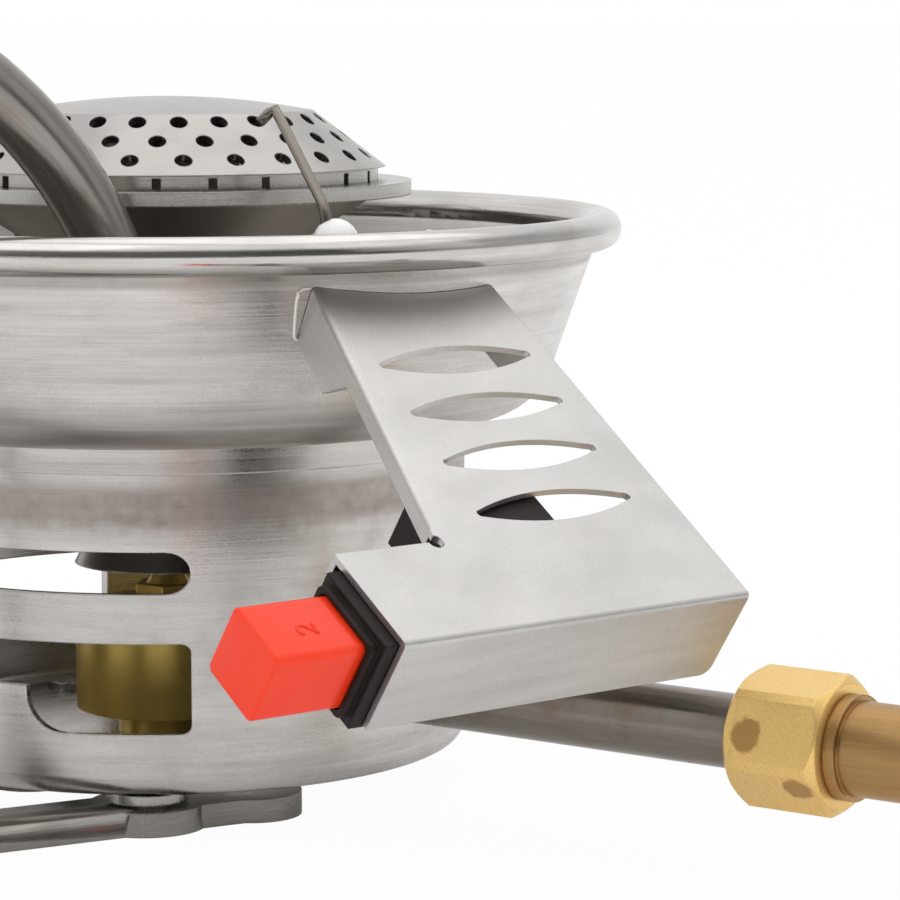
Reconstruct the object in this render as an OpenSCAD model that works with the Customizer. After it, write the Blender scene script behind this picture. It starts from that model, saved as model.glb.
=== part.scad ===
// Camping gas stove with a remote gas inlet.
// A spun bowl on a pressed lower cup, a perforated burner head, three swinging bar legs that also
// carry the pot, and a push-button igniter on a slotted sheet-metal bracket.
// Millimetres, +Z up. The origin is on the ground under the burner axis and the gas pipe runs along +X.

/* [Bowl] */
// How far the middle of the rim's bead stands out from the lower cup
rim_out = 16.2; // [14:0.1:19]
// Radius of the rolled bead itself
bead_r = 2.1; // [1.6:0.1:2.6]
// Height of the rim bead's middle above the ground
rim_z = 64.6; // [60:0.1:70]
// Sheet thickness of the bowl
bowl_wall = 0.8; // [0.6:0.1:1.2]
// Height of the underside of the bowl's floor
bowl_floor_z = 43; // [40:0.1:46]
// Outer radius of the bend between floor and wall
bowl_knee_r = 8; // [6:0.5:10]
// Slope of the bowl's wall, in degrees from upright
bowl_wall_tilt = 19.3; // [14:0.1:24]

/* [Lower cup] */
// Outer radius of the lower cup
cup_r = 35; // [34:0.1:37]
// Sheet thickness of the lower cup
cup_wall = 0.8; // [0.6:0.1:1.2]
// Height of the cup's underside above the ground
cup_z = 4.2; // [4.2:0.1:6]
// Outer radius of the cup's bottom corner
cup_corner_r = 2.2; // [1.6:0.1:2.3]
// Height of the stepped collar at the cup's top
cup_collar_h = 3; // [2:0.1:4]
// How far the collar stands out from the wall
cup_collar_out = 1.2; // [0.9:0.1:1.6]
// Angle that each window and each slot above it spans
window_span = 70.8; // [50:0.1:76]
// Height of a window's lower edge above the ground
window_z = 11.3; // [9:0.1:13]
// Height of a window
window_h = 10; // [8:0.1:12]
// Corner radius of a window
window_corner_r = 1; // [0.6:0.1:2]
// Height of the tab in the middle of a window's lower edge
tab_h = 5; // [3:0.1:6]
// Width of that tab at its top
tab_w = 6; // [4:0.1:9]
// Fillet beside the tab
tab_fillet_r = 4.4; // [2:0.1:4.8]
// Height of the air slot's lower edge above the ground
slot_z = 26.8; // [25:0.1:29]
// Height of the air slot
slot_h = 4.6; // [3.6:0.1:5.6]

/* [Burner] */
// Radius of the burner pan's lip
lip_r = 28.8; // [28:0.1:29]
// Thickness of the lip
lip_t = 1.6; // [0.8:0.1:2]
// Height of the lip's top above the ground
lip_z = 70.1; // [69:0.1:72]
// Radius of the burner head at the foot of its cone
head_r = 25.8; // [25:0.1:28]
// Radius where the cone bends over into the crown
crown_r = 17.3; // [14:0.1:18]
// Height of the burner head above the lip, to the edge of the crown
cone_h = 8.1; // [7:0.1:10]
// Rise of the crown
crown_h = 1.6; // [1:0.1:2.4]
// Sheet thickness of the burner head
head_wall = 1; // [0.7:0.1:1.3]
// Height of the recessed band under the cone
band_h = 1.6; // [0.8:0.1:2]
// Depth of that recess
band_in = 0.9; // [0.6:0.1:1.2]
// Number of holes in a row
hole_count = 25; // [18:1:28]
// Diameter of a flame hole
hole_d = 2; // [1.4:0.1:2.1]
// Width of a notch in the recessed band
notch_w = 1; // [0.6:0.1:1.4]
// Outer radius of the mixing tube
tube_r = 7; // [6:0.1:8]
// Wall of the mixing tube
tube_wall = 0.8; // [0.6:0.1:1.2]
// Outer radius of the mixing tube's bell mouth
bell_r = 11; // [9:0.1:12]
// Height of the bell mouth's lower edge above the ground
bell_z = 25.2; // [24.8:0.1:27]

/* [Gas line] */
// Outer radius of the gas pipe
pipe_r = 4; // [3.5:0.1:4.4]
// Wall of the gas pipe
pipe_wall = 1.2; // [0.8:0.1:1.5]
// Height of the gas pipe's axis above the ground
pipe_z = 14; // [13:0.1:16]
// Distance from the burner axis to the back of the union nut
nut_x = 81; // [74:0.5:84]
// Length of the union nut
nut_l = 11; // [9:0.1:13]
// Width of the union nut across its flats
nut_af = 13.6; // [12.6:0.1:14]
// Outer radius of the brass hose connector
stem_r = 5; // [4.8:0.1:5.1]
// Radius of the gas inlet bore
inlet_r = 3; // [2:0.1:3.6]
// Length of the connector beyond the nut
stem_out = 24; // [16:0.5:40]
// Radius of the brass jet block
block_r = 11; // [8:0.1:11]

/* [Igniter] */
// Angle of the igniter bracket round the bowl
bracket_angle = -14; // [-20:0.5:-8]
// Slope of the bracket's plate below level
bracket_slope = 34; // [30:0.5:36]
// Distance from the rim's bead to the bracket's outer fold
fold_out = 39.7; // [37:0.1:42]
// Height of the outer fold above the ground
fold_z = 31.9; // [31:0.1:34]
// Sheet thickness of the bracket
bracket_t = 0.7; // [0.6:0.1:1.2]
// Depth of the bracket's front flange
flange_h = 10.8; // [10.6:0.1:12]
// Width of the channel that holds the igniter
channel_w = 12.9; // [11.6:0.1:13.4]
// Depth of the flanges along the arm
arm_flange_h = 2; // [1.6:0.1:4]
// Depth of those flanges where they meet the bowl
arm_root_h = 6; // [5:0.1:8]
// Length of a lens-shaped vent
vent_l = 20.3; // [14:0.1:20.8]
// Height of a lens-shaped vent
vent_h = 4.4; // [3:0.1:5.4]
// Spacing of the vents along the arm
vent_pitch = 7.7; // [6.5:0.1:8.2]
// Width of the square push button
button_w = 7.9; // [6:0.1:8]
// Length of the button that stands out
button_out = 10.2; // [8:0.1:12]
// Travel of the push button
button_travel = 4; // [2:0.5:5]
// Radius of the ceramic insulator
ceramic_r = 2.5; // [2:0.1:3]
// Height of the ceramic's top above the ground
ceramic_z = 67.6; // [66:0.1:69]
// Radius of the electrode wire
electrode_r = 0.6; // [0.4:0.1:1]

/* [Legs] */
// Radius of the leg bar
bar_r = 3.6; // [3:0.1:3.6]
// Distance of the leg pivots from the outside of the lower cup
pivot_in = 5.6; // [5.5:0.1:6.5]
// Reach of a leg from its pivot to its upright
leg_reach = 82; // [80:0.5:95]
// Radius of the sweep from the pivot up to the pot rest
leg_sweep_r = 47; // [44:0.5:52]
// Radius of the upper outer bend
leg_top_bend_r = 16; // [12:0.5:18]
// Radius of the lower outer bend
leg_foot_bend_r = 14; // [10:0.5:18]
// Thickness of the flattened end of a leg
eye_t = 2.7; // [2.6:0.1:3.6]
// Radius of the flattened end
eye_r = 5.5; // [5.2:0.1:6]
// Length of the flattened end's tail behind its pivot
tail_l = 13; // [8:0.5:14]
// Radius of a pivot pin
pin_r = 2.5; // [2:0.1:2.8]

/* [Hidden] */
$fn = 64;

// Fits and small allowances
eps = 0.01;
turn_fit = 0.06;
slide_fit = 0.15;
seat_gap = 0.1;
push_fit = 0.02;
bore_fn = 48;
// Half the angle that one side of a hexagon takes
hex_half = 30;

// Where the legs pivot and point, as angles round the burner axis
pivot_angles = [-54.5, -130, -205.5];
leg_angles = [-115, -144, -159];

// Bowl: the wall's line runs tangent to the rim bead's underside
rim_r = cup_r + rim_out;
fold_x = rim_r + fold_out;
wall_top = [rim_r - 0.7, rim_z - 1.1];
knee_end_z = bowl_floor_z + bowl_knee_r * (1 - sin(bowl_wall_tilt));
knee_end_r = wall_top[0] - (wall_top[1] - knee_end_z) * tan(bowl_wall_tilt);
knee_c = [knee_end_r - bowl_knee_r * cos(bowl_wall_tilt), bowl_floor_z + bowl_knee_r];
bowl_floor_top = bowl_floor_z + bowl_wall;

// Lower cup: three windows and slots, even about the gas pipe
collar_r = cup_r + cup_collar_out;
cup_floor_top = cup_z + cup_wall;
pipe_pillar_span = 91.2;
window_mid = (pipe_pillar_span + window_span) / 2;
window_mids = [-window_mid, window_mid, 180];
pillar_angle = 25;
cup_flange_in = 8;
pipe_hole_r = pipe_r + 0.3;

// Burner
pan_z = lip_z - lip_t;
pan_neck_z = 58;
pan_t = 0.8;
pan_rim_in = head_r - band_in;
cone_foot_z = lip_z + band_h;
cone_top_z = lip_z + cone_h;
crown_step = 0.3;
notch_share = 0.8;
crown_foot_r = crown_r - crown_step;
crown_ball_r = (crown_foot_r * crown_foot_r + crown_h * crown_h) / (2 * crown_h);
crown_ball_z = cone_top_z + crown_h - crown_ball_r;
cone_tilt = atan((cone_top_z - cone_foot_z) / (head_r - crown_r));
row_places = [0.13, 0.44, 0.75];
head_turn = 9.6;
tube_flange_r = 16;
tube_flange_t = 1;
tube_screw_r = 12;
tube_screw_angles = [60, 180, 300];
screw_r = 1.5;
screw_head_r = 2.6;
screw_head_h = 1.6;
screw_end_l = 4;
bell_h = 8;

// Gas line
block_top_z = 20;
block_foot_r = 6;
block_foot_z = 8;
jet_af = 7;
jet_hex_h = 2.6;
jet_tip_h = 1.8;
jet_r = 2;
jet_taper = 0.6;
jet_bore_r = 0.5;
jet_shank_l = 2.5;
jet_top_z = block_top_z + jet_hex_h + jet_tip_h;
pipe_in_x = block_r - 4;
ferrule_l = 2.4;
ferrule_r = stem_r - 0.1;
nut_lip_l = 2.5;
ferrule_x = nut_x + nut_lip_l + 0.3;
stem_x = ferrule_x + ferrule_l + 0.1;
nut_end_x = nut_x + nut_l;
stem_end_x = nut_end_x + stem_out;
nut_room_r = stem_r + 0.3;
nut_turn = -15.5;
nut_corner_cut = 0.33;
nut_chamfer = 1.1;
nut_face_r = nut_af / 2 - 0.2;
stem_collar_out = 0.6;
stem_collar_l = 1.3;
stem_collar_x = nut_end_x + 0.3;

// Igniter bracket, in its own plane: x along the fold, y outwards down the slope, z square to the plate
fold_left = 38;
fold_right = -6.4;
arm_left_in = 14.9;
arm_left_out = 25.6;
arm_right_in = -8.4;
arm_in_y = -53;
tongue_l = 9;
slot_gap = 0.35;
lead_in = [12, -51, -2.4];
lead_hole_l = 10;
tongue_in = 0.4;
tongue_h = 4.8;
bridge_in = 0.3;
bridge_l = 7;
arm_root_l = 11;
arm_taper_l = 4;
flange_corner_r = 1.2;
tongue_z = -0.9;
notch_r = 0.9;
flange_stop = 1.5;
vent_first = [8, -16];
vent_drift = -1.07;
vent_end_r = 0.5;
vent_end_x = vent_l / 2 - vent_end_r;
vent_crown = vent_h / 2 - vent_end_r;
vent_ball_r = (vent_end_x * vent_end_x + vent_crown * vent_crown) / (2 * vent_crown);
piezo_w = 10.6;
piezo_below = 0.3;
piezo_h = flange_h - bracket_t - seat_gap + piezo_below;
piezo_y = -bracket_t - seat_gap - piezo_w / 2;
frame_in = 0.6;
rear_x = [8.4, 21.6];
rear_y = -22;
rear_h = 7.5;
rear_z = -bracket_t - 3 * seat_gap;
piezo_z = -bracket_t - seat_gap - piezo_h / 2;
piezo_in_x = 8;
collar_x = fold_left + seat_gap;
collar_l1 = 1.4;
collar_l2 = 1;
button_x = collar_x + collar_l1 + collar_l2;
button_in = 6;
button_corner_r = 0.8;

// Igniter electrode
ceramic_a = -22.3;
ceramic_gap = 1.3;
ceramic_at = collar_r + ceramic_r + ceramic_gap;
ceramic_foot_z = 50;
electrode_off = 1.1;
electrode_off_angle = 216;
electrode_hole_l = 3;
electrode_tip = [24.9, -10.3, 78.9];
electrode_hook = [23.5, -11.3, 77.5];
lead_r = 1.1;

// Legs
pivot_r = cup_r - pivot_in;
stem_foot_z = 38;
stem_top_z = 45.2;
bush_wall = 0.8;
bush_r = bar_r + turn_fit + bush_wall;
bush_flange_r = bush_r + 1.6;
bush_top_z = stem_top_z - 0.2;
bush_foot_z = 38.6;
apex_z = stem_top_z + leg_sweep_r;
neck_l = 24;
foot_z = bar_r;
washer_t = cup_z - eye_t;
washer_r = 4.6;
pin_head_r = 3.9;
pin_top_r = 3.3;
pin_head_h = 1;
pin_foot_z = 0.3;
counterbore_h = 1.4;

function polar(r, a, z = 0) = [r * cos(a), r * sin(a), z];
function pivot(i) = polar(pivot_r, pivot_angles[i]);
ceramic_xy = polar(ceramic_at, ceramic_a);
electrode_xy = ceramic_xy + polar(electrode_off, electrode_off_angle);

// Shared shapes

// A slice of a sheet bend in a revolved profile: from angle a0 to a1 round a centre
module sheet_bend(centre, r_out, wall, a0, a1) {
    far = 3 * r_out;
    translate(centre)
        intersection() {
            difference() {
                circle(r_out);
                circle(r_out - wall);
            }
            polygon([[0, 0], far * [cos(a0), sin(a0)], far * [cos((a0 + a1) / 2), sin((a0 + a1) / 2)],
                far * [cos(a1), sin(a1)]]);
        }
}

// A rectangle with rounded corners, centred
module round_rect(w, h, r) {
    square([w - 2 * r, h], center = true);
    square([w, h - 2 * r], center = true);
    for (x = [-1, 1], y = [-1, 1])
        translate([x * (w / 2 - r), y * (h / 2 - r)])
            circle(r);
}

// A lens between two circular arcs, with blunt round ends
module vent() {
    intersection() {
        translate([0, vent_ball_r - vent_h / 2])
            circle(vent_ball_r, $fn = 128);
        translate([0, vent_h / 2 - vent_ball_r])
            circle(vent_ball_r, $fn = 128);
        square([2 * vent_end_x + vent_end_r / 3, 2 * vent_h], center = true);
    }
    for (x = [-vent_end_x, vent_end_x])
        translate([x, 0])
            circle(vent_end_r, $fn = 32);
}

// The bracket's own plane, with its origin on the outer fold
module bracket_plane() {
    rotate([0, 0, bracket_angle])
        translate([fold_x, 0, fold_z])
            rotate([0, bracket_slope, 0])
                rotate([0, 0, -90])
                    children();
}

// A bore along +X, from x0 to x1 on the gas pipe's axis
module x_rod(r, x0, x1) {
    translate([x0, 0, pipe_z])
        rotate([0, 90, 0])
            cylinder(r = r, h = x1 - x0, $fn = bore_fn);
}

// Bowl

// The bowl's half section as a full shape, drawn in by an inset and open to a given height
module bowl_region(inset, top) {
    wall_x = wall_top[0] - inset / cos(bowl_wall_tilt) + (top - wall_top[1]) * tan(bowl_wall_tilt);
    foot = knee_c + (bowl_knee_r - inset) * [cos(bowl_wall_tilt), -sin(bowl_wall_tilt)];
    translate([0, bowl_floor_z + inset])
        square([knee_c[0], top - bowl_floor_z - inset]);
    translate(knee_c)
        circle(bowl_knee_r - inset);
    polygon([knee_c, foot, [wall_x, top], [knee_c[0], top]]);
}

module bowl_section() {
    difference() {
        bowl_region(0, wall_top[1]);
        bowl_region(bowl_wall, rim_z + bead_r);
        translate([-1, bowl_floor_z - 1])
            square([tube_r + push_fit + 1, bowl_wall + 2]);
    }
    translate([rim_r, rim_z])
        circle(bead_r);
}

// The space that the bowl fills, with a gap round it
module bowl_space(gap) {
    rotate_extrude($fn = 128) {
        bowl_region(-gap, rim_z);
        translate([rim_r, rim_z])
            circle(bead_r + gap);
    }
}

module bowl() {
    color("silver")
        difference() {
            rotate_extrude($fn = 128)
                bowl_section();
            for (i = [0:2])
                translate([pivot(i)[0], pivot(i)[1], bowl_floor_z - 1])
                    cylinder(r = bush_r + push_fit, h = 4, $fn = bore_fn);
            for (a = tube_screw_angles)
                rotate([0, 0, a])
                    translate([tube_screw_r, 0, bowl_floor_z - 1])
                        cylinder(r = screw_r + push_fit, h = 4, $fn = bore_fn);
            bracket_plane() {
                tongues(slot_gap);
                translate([lead_in[0], lead_in[1] - lead_hole_l / 2, lead_in[2]])
                    rotate([-90, 0, 0])
                        cylinder(r = lead_r + seat_gap, h = lead_hole_l, $fn = bore_fn);
            }
        }
}

// Lower cup

module cup_section() {
    translate([0, cup_z])
        square([cup_r - cup_corner_r, cup_wall]);
    sheet_bend([cup_r - cup_corner_r, cup_z + cup_corner_r], cup_corner_r, cup_wall, -90, 0);
    wall_foot = cup_z + cup_corner_r;
    step_z = bowl_floor_z - cup_collar_h;
    translate([cup_r - cup_wall, wall_foot])
        square([cup_wall, step_z + cup_wall - wall_foot]);
    translate([cup_r - cup_wall, step_z])
        square([cup_collar_out + cup_wall, cup_wall]);
    translate([collar_r - cup_wall, step_z])
        square([cup_wall, cup_collar_h]);
    translate([collar_r - cup_flange_in, bowl_floor_z - cup_wall])
        square([cup_flange_in, cup_wall]);
}

// Points of an arc round a centre
function arc(centre, r, a0, a1, steps) =
    [for (k = [0:steps]) let (a = a0 + (a1 - a0) * k / steps) centre + r * [cos(a), sin(a)]];

// One window's outline, with its raised tab
module window_outline() {
    half_w = cup_r * sin(window_span / 2);
    c = window_corner_r;
    f = tab_fillet_r;
    top = window_z + window_h;
    half = concat(
        [[tab_w / 2, window_z + tab_h]],
        arc([tab_w / 2 + f, window_z + f], f, 180, 270, 8),
        arc([half_w - c, window_z + c], c, -90, 0, 4),
        arc([half_w - c, top - c], c, 0, 90, 4)
    );
    mirrored = [for (k = [len(half) - 1:-1:0]) [-half[k][0], half[k][1]]];
    polygon(concat(half, mirrored));
}

module slot_outline() {
    half_w = cup_r * sin(window_span / 2) - slot_h / 2;
    polygon(concat(
        arc([half_w, slot_z + slot_h / 2], slot_h / 2, -90, 90, 12),
        arc([-half_w, slot_z + slot_h / 2], slot_h / 2, 90, 270, 12)
    ));
}

module lower_cup() {
    color("lightgray")
        difference() {
            rotate([0, 0, pillar_angle])
                rotate_extrude($fn = 128)
                    cup_section();
            for (a = window_mids)
                rotate([90, 0, a + 90])
                    translate([0, 0, cup_r * 0.6])
                        linear_extrude(cup_r) {
                            window_outline();
                            slot_outline();
                        }
            x_rod(pipe_hole_r, cup_r - 6, cup_r + 4);
            for (i = [0:2]) {
                translate([pivot(i)[0], pivot(i)[1], cup_z - 1])
                    cylinder(r = pin_r + push_fit, h = 3, $fn = bore_fn);
                translate([pivot(i)[0], pivot(i)[1], bowl_floor_z - 2])
                    cylinder(r = bush_r + seat_gap, h = 3, $fn = bore_fn);
            }
        }
}

// Burner

module burner_pan() {
    slope = (pan_z - pan_neck_z) / (pan_rim_in - tube_r);
    color("gray")
        rotate_extrude($fn = 96) {
            neck = tube_r + push_fit;
            polygon([[neck, pan_neck_z - 3], [neck + pan_t, pan_neck_z - 3], [neck + pan_t, pan_neck_z],
                [pan_rim_in, pan_z], [lip_r, pan_z], [lip_r, lip_z], [pan_rim_in - 2, lip_z],
                [pan_rim_in - 2, pan_z - slope * 0.4], [neck, pan_neck_z + pan_t]]);
        }
}

// Half of the head's section: the outside less the space under it
module head_section() {
    foot = head_r - band_in;
    n = head_wall * [sin(cone_tilt), cos(cone_tilt)];
    roof_z = cone_top_z - head_wall;
    roof_r = crown_r - n[0] + (head_wall - n[1]) / tan(cone_tilt);
    inner_foot_z = roof_z - (foot - head_wall - roof_r) * tan(cone_tilt);
    difference() {
        union() {
            polygon([[0, lip_z], [foot, lip_z], [foot, cone_foot_z], [head_r, cone_foot_z],
                [crown_r, cone_top_z], [0, cone_top_z]]);
            intersection() {
                translate([0, crown_ball_z])
                    circle(crown_ball_r, $fn = 256);
                translate([0, roof_z])
                    square([crown_r - crown_step / 2, head_wall + crown_h + 1]);
            }
        }
        polygon([[-1, lip_z - 1], [foot - head_wall, lip_z - 1], [foot - head_wall, inner_foot_z],
            [roof_r, roof_z], [0, roof_z + crown_h], [-1, roof_z + crown_h]]);
    }
}

module burner_head() {
    pitch = 360 / hole_count;
    color("gainsboro")
        rotate([0, 0, head_turn])
            difference() {
                rotate_extrude($fn = 96)
                    head_section();
                for (row = [0:len(row_places) - 1], k = [0:hole_count - 1]) {
                    t = row_places[row];
                    r = crown_r + (head_r - crown_r) * t;
                    z = cone_top_z - (cone_top_z - cone_foot_z) * t;
                    rotate([0, 0, (k + 0.25 + row % 2 / 2) * pitch])
                        translate([r, 0, z])
                            rotate([0, cone_tilt, 0])
                                translate([0, 0, -2 * head_wall])
                                    cylinder(d = hole_d, h = 4 * head_wall, $fn = 16);
                }
                for (k = [0:hole_count - 1])
                    rotate([0, 0, (k + 0.75) * pitch])
                        translate([head_r - band_in - 2 * head_wall, -notch_w / 2, lip_z - 1])
                            cube([4 * head_wall, notch_w, 1 + notch_share * band_h]);
            }
}

module mixing_tube() {
    top_z = pan_neck_z + 1;
    color("darkgray")
        difference() {
            rotate_extrude($fn = 96) {
                translate([tube_r - tube_wall, bell_z + bell_h])
                    square([tube_wall, top_z - bell_z - bell_h]);
                polygon([[bell_r, bell_z], [tube_r, bell_z + bell_h], [tube_r - tube_wall, bell_z + bell_h],
                    [bell_r - tube_wall, bell_z]]);
                translate([tube_r - tube_wall, bowl_floor_top])
                    square([tube_flange_r - tube_r + tube_wall, tube_flange_t]);
            }
            for (a = tube_screw_angles)
                rotate([0, 0, a])
                    translate([tube_screw_r, 0, bowl_floor_top - 1])
                        cylinder(r = screw_r + push_fit, h = 4, $fn = bore_fn);
        }
}

module tube_screws() {
    seat = bowl_floor_top + tube_flange_t;
    color("silver")
        for (a = tube_screw_angles)
            rotate([0, 0, a])
                translate([tube_screw_r, 0, seat]) {
                    cylinder(r = screw_head_r, h = screw_head_h, $fn = bore_fn);
                    translate([0, 0, -screw_end_l])
                        cylinder(r = screw_r, h = screw_end_l + eps, $fn = bore_fn);
                }
}

// Gas line

module jet_block() {
    color("goldenrod")
        difference() {
            union() {
                translate([0, 0, block_foot_z])
                    cylinder(r = block_r, h = block_top_z - block_foot_z, $fn = bore_fn);
                translate([0, 0, cup_floor_top])
                    cylinder(r = block_foot_r, h = block_foot_z - cup_floor_top + eps, $fn = bore_fn);
            }
            x_rod(pipe_r + push_fit, pipe_in_x, block_r + 4);
            x_rod(pipe_r - pipe_wall, 0, pipe_in_x + 1);
            translate([0, 0, pipe_z])
                cylinder(r = jet_r + push_fit, h = block_top_z, $fn = bore_fn);
        }
}

module jet() {
    color("gold")
        difference() {
            union() {
                translate([0, 0, block_top_z - jet_shank_l])
                    cylinder(r = jet_r, h = jet_shank_l + eps, $fn = bore_fn);
                translate([0, 0, block_top_z])
                    cylinder(d = jet_af / cos(hex_half), h = jet_hex_h, $fn = 6);
                translate([0, 0, block_top_z + jet_hex_h])
                    cylinder(r1 = jet_r + jet_taper, r2 = jet_r - jet_taper, h = jet_tip_h, $fn = bore_fn);
            }
            translate([0, 0, pipe_z])
                cylinder(r = jet_bore_r, h = jet_top_z - pipe_z + 1, $fn = 24);
        }
}

module gas_pipe() {
    color("dimgray")
        difference() {
            x_rod(pipe_r, pipe_in_x, ferrule_x + ferrule_l);
            x_rod(pipe_r - pipe_wall, pipe_in_x - 1, ferrule_x + ferrule_l + 1);
        }
}

module pipe_ferrule() {
    color("gold")
        difference() {
            x_rod(ferrule_r, ferrule_x, ferrule_x + ferrule_l);
            x_rod(pipe_r + push_fit, ferrule_x - 1, ferrule_x + ferrule_l + 1);
        }
}

// A hexagonal bar along the gas pipe, turned about it
module hex_bar(across, turn) {
    translate([nut_x, 0, pipe_z])
        rotate([turn, 0, 0])
            rotate([0, 90, 0])
                cylinder(d = across / cos(hex_half), h = nut_l, $fn = 6);
}

// A hexagon with blunt corners and both ends turned to a chamfer
module union_nut() {
    corner_r = nut_af / 2 / cos(hex_half);
    color("gold")
        difference() {
            intersection() {
                hex_bar(nut_af, nut_turn);
                hex_bar(2 * (corner_r - nut_corner_cut), nut_turn + hex_half);
                translate([nut_x, 0, pipe_z])
                    rotate([0, 90, 0])
                        rotate_extrude($fn = 96)
                            polygon([[0, 0], [nut_face_r, 0], [corner_r, nut_chamfer],
                                [corner_r, nut_l - nut_chamfer], [nut_face_r, nut_l], [0, nut_l]]);
            }
            x_rod(pipe_r + turn_fit, nut_x - 1, nut_x + nut_lip_l + eps);
            x_rod(nut_room_r, nut_x + nut_lip_l, stem_x + 1);
            x_rod(stem_r + turn_fit, stem_x, nut_end_x + 1);
        }
}

module hose_connector() {
    color("darkgoldenrod")
        difference() {
            union() {
                x_rod(stem_r, stem_x, stem_end_x);
                x_rod(stem_r + stem_collar_out, stem_collar_x, stem_collar_x + stem_collar_l);
            }
            x_rod(inlet_r, stem_x - 1, stem_end_x + 1);
        }
}

// Igniter

module bracket_outline() {
    polygon([[fold_right, 0], [fold_left, 0], [fold_left, -channel_w], [arm_left_out, -channel_w],
        [arm_left_in, arm_in_y], [arm_right_in, arm_in_y]]);
}

// A flange hanging from the plate's edge, on the left of the way from p to q
module edge_flange(p, q, depth) {
    d = (q - p) / norm(q - p);
    inward = bracket_t * [-d[1], d[0]];
    translate([0, 0, -depth])
        linear_extrude(depth)
            polygon([p, q, q + inward, p + inward]);
}

// A flange along the arm from p to q, deep at its root and shallow towards its tip
module arm_flange(p, q, root, tip) {
    way = tip - root;
    drop = arm_root_h - arm_flange_h;
    difference() {
        edge_flange(p, q, arm_root_h);
        translate(root)
            rotate([0, 0, atan2(way[1], way[0])])
                translate([0, 3 * bracket_t, 0])
                    rotate([90, 0, 0])
                        linear_extrude(6 * bracket_t)
                            polygon([[arm_root_l - arm_taper_l / drop, -arm_root_h - 1],
                                [arm_root_l + arm_taper_l, -arm_flange_h],
                                [norm(way) + 2, -arm_flange_h], [norm(way) + 2, -arm_root_h - 1]]);
    }
}

// The front flange, with round lower corners
module front_flange() {
    c = flange_corner_r;
    rotate([90, 0, 0])
        linear_extrude(bracket_t)
            polygon(concat([[fold_left, -flange_h], [fold_left, 0], [fold_right, 0]],
                arc([fold_right + c, c - flange_h], c, 180, 270, 6)));
}

// The two tongues that pass through the bowl's wall
module tongues(gap) {
    for (x = [arm_left_in - bracket_t / 2 - tongue_in, arm_right_in + bracket_t / 2 + tongue_in])
        translate([x - bracket_t / 2 - gap, arm_in_y - tongue_l, tongue_z - tongue_h - gap])
            cube([bracket_t + 2 * gap, tongue_l + 6, tongue_h + 2 * gap]);
}

// The plate between the tongues that holds the ceramic
module tongue_bridge() {
    left = arm_left_in - bracket_t - tongue_in;
    right = arm_right_in + bracket_t + tongue_in;
    translate([right - bridge_in, arm_in_y - tongue_l + bridge_in, tongue_z - tongue_h + bridge_in])
        cube([left - right + 2 * bridge_in, bridge_l, bracket_t]);
}

module igniter_bracket() {
    left_in = [arm_left_in, arm_in_y];
    left_out = [arm_left_out, -channel_w];
    left_stop = left_out + flange_stop * (left_in - left_out) / norm(left_in - left_out);
    right_in = [arm_right_in, arm_in_y];
    back_stop = [arm_left_out + flange_stop, -channel_w];
    color("silver")
        difference() {
            union() {
                difference() {
                    bracket_plane()
                        union() {
                            translate([0, 0, -bracket_t])
                                linear_extrude(bracket_t)
                                    bracket_outline();
                            front_flange();
                            edge_flange(back_stop, [fold_left, -channel_w], flange_h);
                            arm_flange(left_in, left_stop, left_in, left_out);
                            arm_flange([fold_right, -bracket_t / 2], right_in, right_in, [fold_right, 0]);
                        }
                    bowl_space(seat_gap);
                }
                bracket_plane() {
                    tongues(0);
                    tongue_bridge();
                }
            }
            translate([ceramic_xy[0], ceramic_xy[1], ceramic_foot_z])
                cylinder(r = ceramic_r + seat_gap, h = ceramic_z - ceramic_foot_z, $fn = bore_fn);
            bracket_plane() {
                translate([arm_left_out, -channel_w, -2 * bracket_t])
                    cylinder(r = notch_r, h = 4 * bracket_t, $fn = 32);
                for (k = [0:3])
                    translate(concat(vent_first + k * [vent_drift, -vent_pitch], -2 * bracket_t))
                        linear_extrude(4 * bracket_t)
                            vent();
            }
        }
}

module piezo_body() {
    color([0.1, 0.1, 0.1])
        bracket_plane()
            difference() {
                union() {
                    translate([piezo_in_x, piezo_y - piezo_w / 2, piezo_z - piezo_h / 2])
                        cube([collar_x + collar_l1 - piezo_in_x, piezo_w, piezo_h]);
                    translate([rear_x[0], rear_y, rear_z - rear_h])
                        cube([rear_x[1] - rear_x[0], piezo_y - rear_y, rear_h]);
                    translate([collar_x + collar_l1 - eps, piezo_y, piezo_z])
                        rotate([90, 0, 90])
                            linear_extrude(collar_l2 + eps)
                                round_rect(piezo_w - 2 * frame_in, piezo_h - 2 * frame_in, button_corner_r);
                }
                translate([button_x - button_in - button_travel - 0.4, piezo_y, piezo_z])
                    rotate([90, 0, 90])
                        linear_extrude(button_in + button_travel + 2)
                            round_rect(button_w + 2 * slide_fit, button_w + 2 * slide_fit, button_corner_r);
            }
}

module piezo_button() {
    color("tomato")
        bracket_plane()
            translate([button_x - button_in, piezo_y, piezo_z])
                rotate([90, 0, 90])
                    linear_extrude(button_in + button_out)
                        round_rect(button_w, button_w, button_corner_r);
}

// A ceramic rod with a round top and a hole for the wire
module electrode_ceramic() {
    top = ceramic_z - ceramic_foot_z;
    dome = arc([0, top - ceramic_r], ceramic_r, 0, 90, 10);
    color("white")
        difference() {
            translate([ceramic_xy[0], ceramic_xy[1], ceramic_foot_z])
                rotate_extrude($fn = bore_fn)
                    polygon(concat([[0, 0], [ceramic_r, 0]], dome));
            translate([electrode_xy[0], electrode_xy[1], ceramic_z - electrode_hole_l])
                cylinder(r = electrode_r + push_fit, h = electrode_hole_l + 1, $fn = bore_fn);
        }
}

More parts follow.
